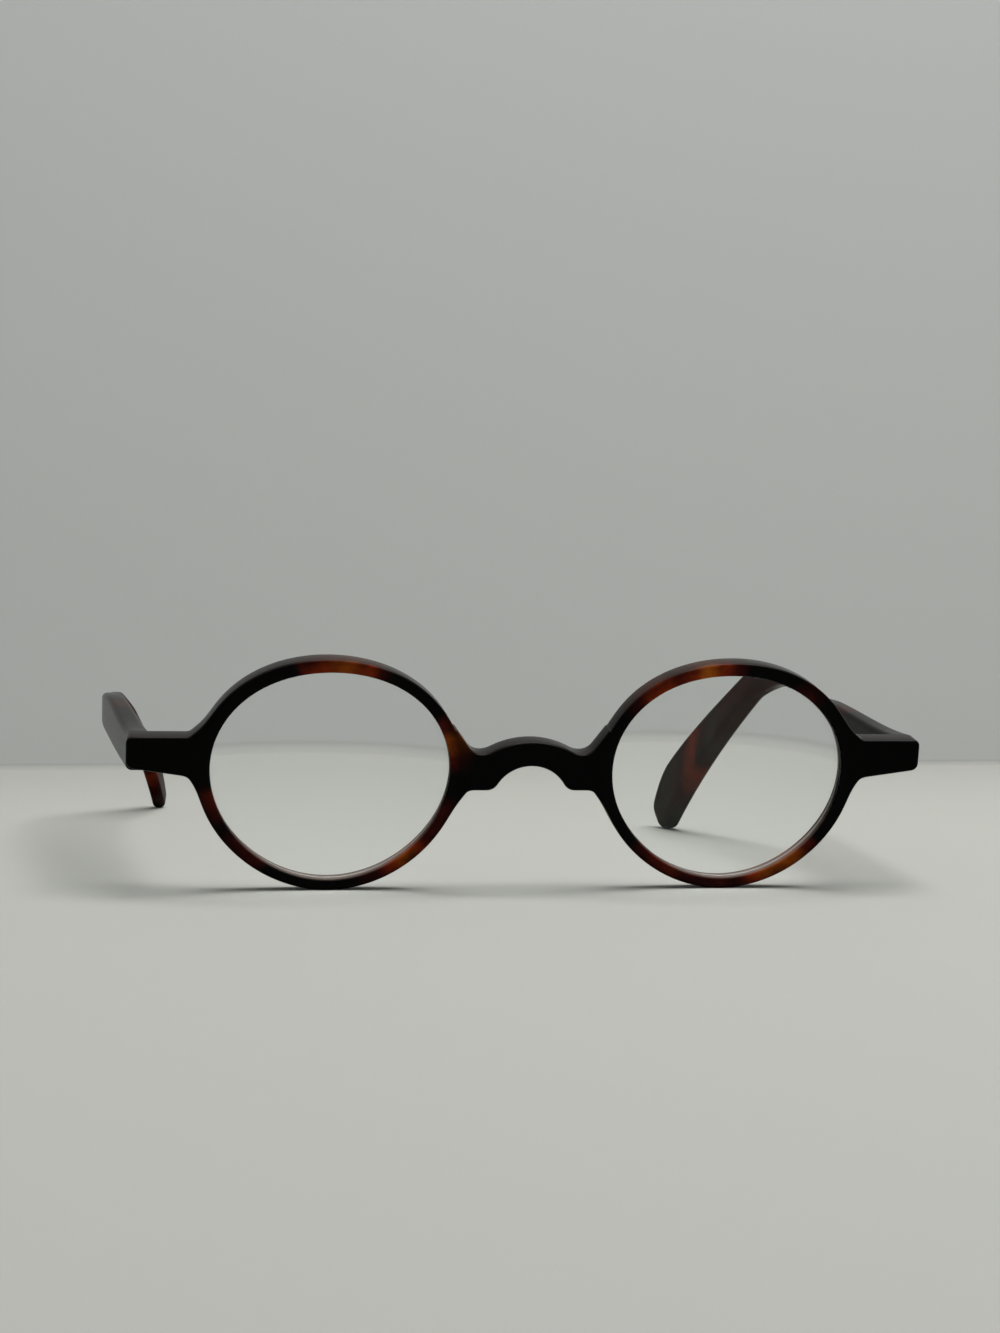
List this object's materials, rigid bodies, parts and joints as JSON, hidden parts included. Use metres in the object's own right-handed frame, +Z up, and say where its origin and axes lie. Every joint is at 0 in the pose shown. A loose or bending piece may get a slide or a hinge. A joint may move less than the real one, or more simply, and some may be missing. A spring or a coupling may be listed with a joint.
{
  "type": "eyeglass frame",
  "caption": "Oval acetate eyeglass frame with a wavy saddle bridge, clear lenses, and temples with turned-down ends that fold inwards on barrel hinges.",
  "frame": {"origin": "Centre of the bounding box at its base: the table plane, midway between the two sides and midway between the front and the temple ends.", "axes": "+X is the wearer's left, the front faces -Y, the temples run towards +Y, +Z is up. The frame stands open on its rims and its temple tips."},
  "size_m": [0.1406, 0.135, 0.0388],
  "materials": {
    "acetate": "polished tortoiseshell acetate, near black with red-brown and amber patches",
    "lens": "clear, polished, with a matte bevelled edge",
    "steel": "satin nickel silver"
  },
  "bodies": {
    "front": {"front": "acetate", "lens_right": "lens", "lens_left": "lens", "front_hinge_right": "steel", "front_hinge_left": "steel", "hinge_screw_right": "steel", "hinge_screw_left": "steel"},
    "temple_right": {"temple_right": "acetate", "core_wire_right": "steel", "temple_hinge_right": "steel"},
    "temple_left": {"temple_left": "acetate", "core_wire_left": "steel", "temple_hinge_left": "steel"}
  },
  "joints": [
    {"name": "temple_left_hinge", "type": "hinge", "parent": "front", "child": "temple_left", "pos_m": [0.0602, -0.05806, 0.02284], "axis": [0, 0, 1], "range_deg": [0, 90]},
    {"name": "temple_right_hinge", "type": "hinge", "parent": "front", "child": "temple_right", "pos_m": [-0.0602, -0.05806, 0.02284], "axis": [0, 0, -1], "range_deg": [0, 75]}
  ]
}
